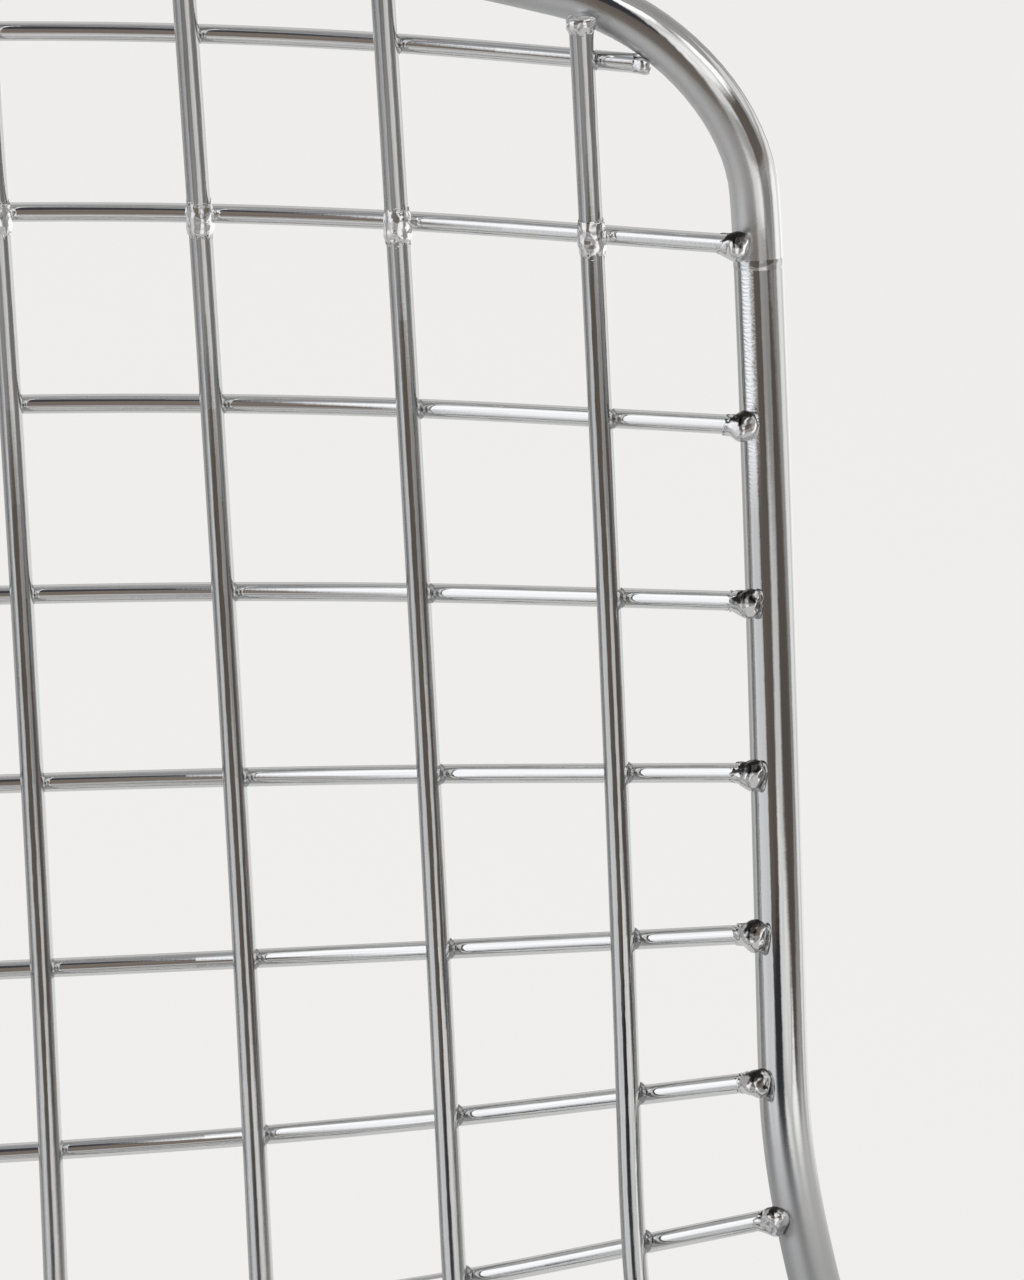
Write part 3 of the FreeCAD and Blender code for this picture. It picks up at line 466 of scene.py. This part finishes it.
bow_chrome, tree, shader, _, _ = chrome(
    "bow_chrome", streaks=(90, 90, 60), dull=0.08, depth=0.00012, tone=1.05)


def vector_node(tree, operation, first, second=None):
    """One Vector Math node. The second value is a vector or a socket."""
    node = tree.nodes.new("ShaderNodeVectorMath")
    node.operation = operation
    tree.links.new(first, node.inputs[0])
    if isinstance(second, tuple):
        node.inputs[1].default_value = second
    elif second is not None:
        tree.links.new(second, node.inputs[1])
    return node.outputs


point = tree.nodes.new("ShaderNodeTexCoord").outputs["Object"]
from_middle = vector_node(tree, "SUBTRACT", point, BOW_MIDDLE)["Vector"]
flattened = vector_node(tree, "MULTIPLY", from_middle, BOW_SHAPE)["Vector"]
way_out = vector_node(tree, "NORMALIZE", flattened)["Vector"]
normal = tree.nodes.new("ShaderNodeNewGeometry").outputs["Normal"]
facing_out = vector_node(tree, "DOT_PRODUCT", normal, way_out)["Value"]
polish = ramp_node(tree, facing_out, INSIDE, OUTSIDE, low=SATIN, high=MIRROR, eased=False)
tree.links.new(polish, shader.inputs["Roughness"])
print(bow_chrome.name, "roughness", MIRROR, "outside and", SATIN, "inside")

# %% [markdown]
# ## The rim's chrome
#
# The rim is the same plate over a thicker rod. Where the cross wires come in, its inner face was dressed
# after welding, and below the joint of the top bow the strokes still show as a light, finely hatched strip. A
# strip of its own mesh would have to be cut into the rod. So it is found by the direction of the surface,
# which makes it follow the rod, and it fades out down the back. Its strokes are a wave texture used as a
# bump. Lower down, where arms and legs rub along the rim, the plate is worn to a satin.

# %% Where the hatched strip lies
STRIP_TOP = 1.034
STRIP_TOP_EDGE = 0.003
STRIP_FULL = 1.012
STRIP_END = 0.985
# How far the surface looks inward or forward where the strip starts, and where it is full.
FRONT_EDGE = (-0.20, -0.30)
REAR_EDGE = (-0.78, -0.68)
FACES_FRONT = (-0.3, -0.5)

# Tone 0.82 is painted shade too: a darker copy of the same plate as the wires.
rim_chrome, tree, shader, haze, plate_normal = chrome(
    "rim_chrome", streaks=(90, 90, 60), dull=0.10, depth=0.00012, tone=0.82)
place = place_of(tree)
facing = tree.nodes.new("ShaderNodeSeparateXYZ")
tree.links.new(tree.nodes.new("ShaderNodeNewGeometry").outputs["Normal"], facing.inputs[0])
outward = math_node(tree, "MULTIPLY", facing.outputs["X"], math_node(tree, "SIGN", place["X"]))
strip = ramp_node(tree, outward, *FRONT_EDGE)
for limit in (ramp_node(tree, outward, *REAR_EDGE),
              ramp_node(tree, facing.outputs["Y"], *FACES_FRONT),
              ramp_node(tree, place["Z"], STRIP_END, STRIP_FULL),
              ramp_node(tree, place["Z"], STRIP_TOP + STRIP_TOP_EDGE, STRIP_TOP)):
    strip = math_node(tree, "MULTIPLY", strip, limit)
print("hatched strip from", STRIP_END, "to", STRIP_TOP, "m")

# %% Strokes of the strip and the worn plate below it
STRIP_TONE = (0.93, 0.95, 0.98, 1.0)
STRIP_ROUGHNESS = 0.22
STROKE_DEPTH = 0.00008
WORN_FROM = 0.91
WORN_FULL = 0.865
WORN_ROUGHNESS = 0.48

strokes = tree.nodes.new("ShaderNodeTexWave")
strokes.bands_direction = "Z"
strokes.inputs["Scale"].default_value = 380.0
strokes.inputs["Distortion"].default_value = 9.0
strokes.inputs["Detail"].default_value = 4.0
strokes.inputs["Detail Scale"].default_value = 2.0
tree.links.new(stretched(tree, (0.5, 0.5, 1.0)), strokes.inputs["Vector"])
hatch = math_node(tree, "MULTIPLY", strokes.outputs["Fac"], strip)
stroked = bump_from(tree, hatch, STROKE_DEPTH, strength=0.5, under=plate_normal)
tree.links.new(stroked, shader.inputs["Normal"])
worn = ramp_node(tree, place["Z"], WORN_FROM, WORN_FULL, high=WORN_ROUGHNESS)
dull = math_node(tree, "MAXIMUM", math_node(tree, "MULTIPLY", strip, STRIP_ROUGHNESS), worn)
tree.links.new(math_node(tree, "ADD", haze, dull), shader.inputs["Roughness"])
brushed = tree.nodes.new("ShaderNodeMix")
brushed.data_type = "RGBA"
tree.links.new(strip, brushed.inputs["Factor"])
brushed.inputs[UNDER].default_value = shader.inputs["Base Color"].default_value
brushed.inputs[OVER].default_value = STRIP_TONE
tree.links.new(brushed.outputs[MIXED], shader.inputs["Base Color"])
print(rim_chrome.name, "is worn below", WORN_FROM, "m")

# %% [markdown]
# ## The finish of the welds
#
# The welds were plated with the rest, so they are bright too, but rippled. Where a bead on the rim faces up,
# it is painted nearly black, as a painted reflection of the dark roof above, less so lower down the back.
# This painted dark has a ragged edge, so a noise is added to the direction of the surface before a colour
# ramp turns it into a tone. The small spot welds between the wires are a darker grey all over.

# %% Weld finishes
# The near black tone below is a painted reflection of the dark roof, laid on the upward faces of the rim's
# welds.
PAINTED_DARK_TOP = (0.045, 0.043, 0.042)
PLATED = (0.80, 0.80, 0.81)
SPOT_GREY = (0.36, 0.36, 0.37)
RIPPLE_DEPTH = 0.00006
PALE_AT = 0.80
DARK_FROM = 0.93
PALER_BY = -0.45
RAGGED = 0.35
PAINTED_DARK_STARTS = 0.40
PAINTED_DARK_FULL = 0.62


def weld_finish(name, tone):
    """Plated weld with a rippled skin."""
    material, tree, shader = new_material(name)
    shader.inputs["Base Color"].default_value = (*tone, 1.0)
    shader.inputs["Metallic"].default_value = 1.0
    gloss = noise_value(tree, (500, 500, 500), detail=3.0, low=0.04, high=0.16)
    tree.links.new(gloss, shader.inputs["Roughness"])
    ripples = noise_value(tree, (700, 700, 700), detail=2.0)
    tree.links.new(bump_from(tree, ripples, RIPPLE_DEPTH, strength=0.3), shader.inputs["Normal"])
    return material, tree, shader


weld_chrome = weld_finish("weld_chrome", PLATED)[0]
spot_chrome = weld_finish("spot_weld_chrome", SPOT_GREY)[0]
# This finish paints the upward faces near black, a painted reflection that is paler lower down the back.
painted_dark_top_chrome, tree, shader = weld_finish("painted_dark_top_weld_chrome", PLATED)
facing = tree.nodes.new("ShaderNodeSeparateXYZ")
tree.links.new(tree.nodes.new("ShaderNodeNewGeometry").outputs["Normal"], facing.inputs[0])
painted_dark_by_height = ramp_node(tree, place_of(tree)["Z"], PALE_AT, DARK_FROM, low=PALER_BY, high=0.0, eased=False)
painted_dark_facing = math_node(tree, "ADD", facing.outputs["Z"], painted_dark_by_height)
edge = noise_value(tree, (450, 450, 450), detail=2.0, low=-RAGGED, high=RAGGED)
ragged = math_node(tree, "ADD", painted_dark_facing, edge)
painted_dark_ramp = tree.nodes.new("ShaderNodeValToRGB")
painted_dark_ramp.color_ramp.elements[0].position = PAINTED_DARK_STARTS
painted_dark_ramp.color_ramp.elements[0].color = (*PLATED, 1.0)
painted_dark_ramp.color_ramp.elements[1].position = PAINTED_DARK_FULL
painted_dark_ramp.color_ramp.elements[1].color = (*PAINTED_DARK_TOP, 1.0)
tree.links.new(ragged, painted_dark_ramp.inputs["Fac"])
tree.links.new(painted_dark_ramp.outputs["Color"], shader.inputs["Base Color"])
print(weld_chrome.name, spot_chrome.name, painted_dark_top_chrome.name)

# %% [markdown]
# ## Lumpy welds
#
# Each weld was made by hand or with a welding head and never dressed, so it is a frozen puddle: a flare round
# the wire with ripples, dimples and sharp little facets. CAD gives each one its place and its plain form. A
# bump would leave the outline smooth. So the form is copied, remeshed to an even skin of small faces, and
# pushed in and out along its normals by a fixed noise. A copy of a CAD mesh is loose triangles, so it is
# merged first.

# %% Copies of CAD meshes
SAME_POINT = 1e-6


def merged_copy(node_name, distance):
    """The CAD node's mesh with its loose triangles joined, as a bmesh and a mesh to put it in.

    Normals that came with the file would keep the triangles' seams in sight, so they are dropped.
    """
    mesh = nodes[node_name].data.copy()
    if "custom_normal" in mesh.attributes:
        mesh.attributes.remove(mesh.attributes["custom_normal"])
    bm = bmesh.new()
    bm.from_mesh(mesh)
    bmesh.ops.remove_doubles(bm, verts=bm.verts, dist=distance)
    return bm, mesh


def add_piece(name, mesh, node_name):
    """Show a mesh in place of a CAD node."""
    mesh.name = name
    piece = bpy.data.objects.new(name, mesh)
    scene.collection.objects.link(piece)
    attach(piece, "root")
    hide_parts(node_name)
    print(piece.name, len(mesh.polygons), "faces")


print(len(nodes["rim_end_welds"].data.vertices), "loose points in the rim's end welds")


# %% An even skin of small faces
def even_skin(node_name, size):
    """A merged copy of the CAD node, remeshed with faces of this size in metres."""
    bm, mesh = merged_copy(node_name, SAME_POINT)
    bm.to_mesh(mesh)
    bm.free()
    plain = bpy.data.objects.new("plain", mesh)
    scene.collection.objects.link(plain)
    remesh = plain.modifiers.new("skin", "REMESH")
    remesh.mode = "VOXEL"
    remesh.voxel_size = size
    evaluated = plain.evaluated_get(bpy.context.evaluated_depsgraph_get())
    skinned = bpy.data.meshes.new_from_object(evaluated)
    bpy.data.objects.remove(plain)
    return skinned


print(len(nodes["rim_end_welds"].data.polygons), "triangles in them before they are remeshed")

# %% Lumpy welds from the CAD welds
TOP_WIRE = 1.06
SLIM = 0.75
FINE_LUMPS = 0.35
FINER = 2.1


def slim_top_welds(bm):
    """Shrink the two welds at the ends of the top wire, each about its own middle."""
    top_welds = [vert for vert in bm.verts if vert.co.z > TOP_WIRE]
    for side in (1, -1):
        weld = [vert.co for vert in top_welds if side * vert.co.x > 0]
        middle = sum(weld, Vector()) / len(weld)
        for co in weld:
            co[:] = middle + (co - middle) * SLIM


def lumpy(node_name, finish, skin, lumps, lump_size, rounds, slim_top=False):
    """Replace a CAD weld node by a remeshed copy of it with a lumpy skin. Sizes are in metres.

    With slim_top, the welds of the top wire are slimmer than the others and have no painted dark reflection.
    """
    skinned = even_skin(node_name, skin)
    bm = bmesh.new()
    bm.from_mesh(skinned)
    for _ in range(rounds):
        bmesh.ops.smooth_vert(bm, verts=bm.verts, factor=0.5,
                              use_axis_x=True, use_axis_y=True, use_axis_z=True)
    bm.normal_update()
    for vert in bm.verts:
        at = vert.co / lump_size
        height = noise.noise(at) + FINE_LUMPS * noise.noise(at * FINER)
        vert.co += vert.normal * lumps * height
    if slim_top:
        slim_top_welds(bm)
    for face in bm.faces:
        face.smooth = True
        face.material_index = int(slim_top and face.calc_center_median().z > TOP_WIRE)
    skinned.materials.clear()
    skinned.materials.append(finish)
    skinned.materials.append(weld_chrome)
    bm.to_mesh(skinned)
    bm.free()
    add_piece(node_name + "_lumpy", skinned, node_name)


# The rim's end welds take the painted dark reflection on their upper faces.
lumpy("rim_end_welds", painted_dark_top_chrome, skin=0.0003, lumps=0.0006, lump_size=0.0036, rounds=8, slim_top=True)
lumpy("long_end_welds", weld_chrome, skin=0.0003, lumps=0.0003, lump_size=0.002, rounds=3)
lumpy("stub_joint_welds", weld_chrome, skin=0.00025, lumps=0.00026, lump_size=0.0022, rounds=3)
lumpy("foot_ring_welds", weld_chrome, skin=0.0004, lumps=0.0004, lump_size=0.0025, rounds=3)

# %% [markdown]
# ## Joints of the rim
#
# The top bow is butt welded to the rest of the rim and dressed nearly flush, so only a faint swelling is
# left. CAD gives a short collar with plain ends. Smoothing it would shrink it into the rod. So each collar
# becomes a ring with a soft round profile, spun about the collar's own axis: the direction that its faces
# look in least.

# %% Profile of a ring
RING_HALF = 0.0016
RING_RISE = 0.00007
RING_SINK = 0.00003
RING_WALL = 3 * RING_SINK
RING_RUNS = 12
RIM_RADIUS = 0.005

ring_outline = []
for k in range(RING_RUNS + 1):
    along = -RING_HALF + 2 * RING_HALF * k / RING_RUNS
    swell = 0.5 + 0.5 * math.cos(math.pi * along / RING_HALF)
    ring_outline.append((along, RIM_RADIUS - RING_SINK + (RING_RISE + RING_SINK) * swell))
ring_outline += [(RING_HALF, RIM_RADIUS - RING_WALL), (-RING_HALF, RIM_RADIUS - RING_WALL)]
print("ring", 2 * RING_HALF, "m long, rising", RING_RISE, "m")

# %% Soft rings from the CAD collars
RING_STEPS = 64

collars = nodes["rim_joint_welds"].data.polygons
bm = bmesh.new()
for side in (1, -1):
    collar = [face for face in collars if side * face.center.x > 0]
    areas = np.array([face.area for face in collar])
    centre = Vector(np.average([face.center[:] for face in collar], axis=0, weights=areas))
    normals = np.array([face.normal[:] for face in collar])
    axis = Vector(np.linalg.eigh((normals * areas[:, None]).T @ normals)[1][:, 0])
    outward = axis.orthogonal().normalized()
    ring = [bm.verts.new(centre + axis * along + outward * radius) for along, radius in ring_outline]
    edges = [bm.edges.new((a, b)) for a, b in zip(ring, ring[1:] + ring[:1])]
    bmesh.ops.spin(bm, geom=ring + edges, cent=centre, axis=axis, angle=math.tau, steps=RING_STEPS,
                   use_merge=True)
bmesh.ops.recalc_face_normals(bm, faces=bm.faces)
for face in bm.faces:
    face.smooth = True
joint_mesh = bpy.data.meshes.new("rim_joint_rings")
bm.to_mesh(joint_mesh)
bm.free()
joint_mesh.materials.append(rim_chrome)
add_piece("rim_joint_rings", joint_mesh, "rim_joint_welds")

# %% [markdown]
# ## Fittings under the seat
#
# The clamp plates, screws, washers and nuts are zinc plated: bluish grey, soft in gloss, with a mottle of
# crystals. The pads are black rubber and the glides dark grey nylon, both dull with a fine moulded grain.
# None is seen from close by, so one helper mixes two tones by a noise for all of them, and only the moulded
# ones get a grain.

# %% Zinc, rubber and nylon
GRAIN_SCALE = (3500, 3500, 3500)


def mottled(name, tones, tone_scale, gloss_scale, gloss_detail, gloss):
    """A material whose tone and roughness each vary between two values."""
    material, tree, shader = new_material(name)
    tone = tree.nodes.new("ShaderNodeValToRGB")
    for element, colour in zip(tone.color_ramp.elements, tones):
        element.color = (*colour, 1.0)
    tree.links.new(noise_value(tree, tone_scale, detail=4.0), tone.inputs["Fac"])
    tree.links.new(tone.outputs["Color"], shader.inputs["Base Color"])
    tree.links.new(noise_value(tree, gloss_scale, gloss_detail, *gloss), shader.inputs["Roughness"])
    return material, tree, shader


def moulded(name, tones, gloss, grain):
    """A dull moulded material with a fine grain."""
    material, tree, shader = mottled(name, tones, tone_scale=(120, 120, 120), gloss_scale=(400, 400, 400),
                                     gloss_detail=2.0, gloss=gloss)
    fine = noise_value(tree, GRAIN_SCALE, detail=2.0)
    tree.links.new(bump_from(tree, fine, grain, strength=0.5), shader.inputs["Normal"])
    return material


zinc, _, shader = mottled("zinc_plate", ((0.36, 0.38, 0.41), (0.58, 0.60, 0.62)), tone_scale=(500, 500, 500),
                          gloss_scale=(300, 300, 300), gloss_detail=3.0, gloss=(0.28, 0.48))
shader.inputs["Metallic"].default_value = 1.0
rubber = moulded("pad_rubber", ((0.012, 0.012, 0.013), (0.03, 0.03, 0.032)), gloss=(0.7, 0.9), grain=0.00008)
nylon = moulded("glide_nylon", ((0.03, 0.031, 0.033), (0.055, 0.056, 0.058)), gloss=(0.4, 0.6), grain=0.00005)
print(zinc.name, rubber.name, nylon.name)

# %% [markdown]
# ## Dress the CAD nodes
#
# The record gives each node a material slot. Chromed nodes share one slot, so they are told apart by name,
# because the long wires, the cross wires, the rim and the base have different drawing marks.

# %% Dress
slot_of = {part["node"]: part["material_slot"] for part in frame["record"]["subparts"]}
finishes = {"weld": weld_chrome, "zinc": zinc, "pad_rubber": rubber, "glide_plastic": nylon}
finishes_by_name = {"long_wire": long_chrome, "top_stub": long_chrome, "cross_wire": cross_chrome,
                    "top_rim": bow_chrome, "mesh_spot": spot_chrome, "seat_rim": rim_chrome,
                    "rim_joint": rim_chrome}
for name, node in nodes.items():
    finish = finishes.get(slot_of[name], base_chrome)
    for start, own_finish in finishes_by_name.items():
        if name.startswith(start):
            finish = own_finish
    node.data.materials.clear()
    node.data.materials.append(finish)
print("dressed", len(nodes), "nodes")

# %% [markdown]
# ## One skin for the rim rods
#
# A bent rod mirrors the room in lines that flow on round the bend. CAD meshes each run of the rod on its own,
# so the lines break where two runs meet. The rod could be swept again here, but then it would no longer be
# the one that CAD has. A merged copy of its mesh keeps its points in place and has one skin, and its normals
# run on over the meetings. The rod's flat ends keep their sharp edge. The copy is made after dressing, so it
# takes the finish along.

# %% Rim rods with one skin
CREASE = math.radians(40)
SAME_SEAM_POINT = 1e-5

for name in ("top_rim_bow", "seat_rim_rod"):
    bm, mesh = merged_copy(name, SAME_SEAM_POINT)
    for edge in bm.edges:
        edge.smooth = edge.calc_face_angle(0.0) < CREASE
    for face in bm.faces:
        face.smooth = True
    bm.to_mesh(mesh)
    bm.free()
    add_piece(name + "_skin", mesh, name)
